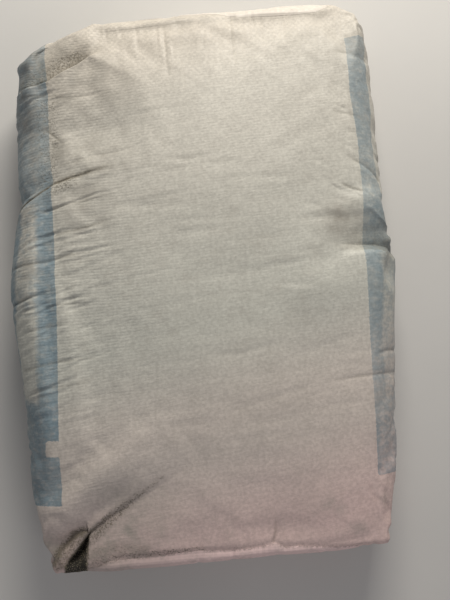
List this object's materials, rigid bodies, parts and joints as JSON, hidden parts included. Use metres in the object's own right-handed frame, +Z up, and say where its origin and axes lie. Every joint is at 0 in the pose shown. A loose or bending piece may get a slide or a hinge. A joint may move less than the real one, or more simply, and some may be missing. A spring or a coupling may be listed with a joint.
{
  "type": "cement bag",
  "caption": "Filled woven plastic sack of cement with block ends, lying face up, its two ends closed by welded cover strips.",
  "frame": {"origin": "on the floor, under the middle of the sack", "axes": "+X across the sack to the right of its face, +Y along the sack towards its top end, +Z up through its face"},
  "size_m": [0.3896, 0.5651, 0.1087],
  "materials": {
    "woven_tape": "coated woven polypropylene tape, off-white with blue side stripes, dusty, satin to matt",
    "coated_patch": "coated woven polypropylene, plain off-white, satin"
  },
  "bodies": {
    "root": {"sack": "woven_tape", "bottom_patch": "coated_patch", "top_patch": "coated_patch"}
  },
  "joints": []
}
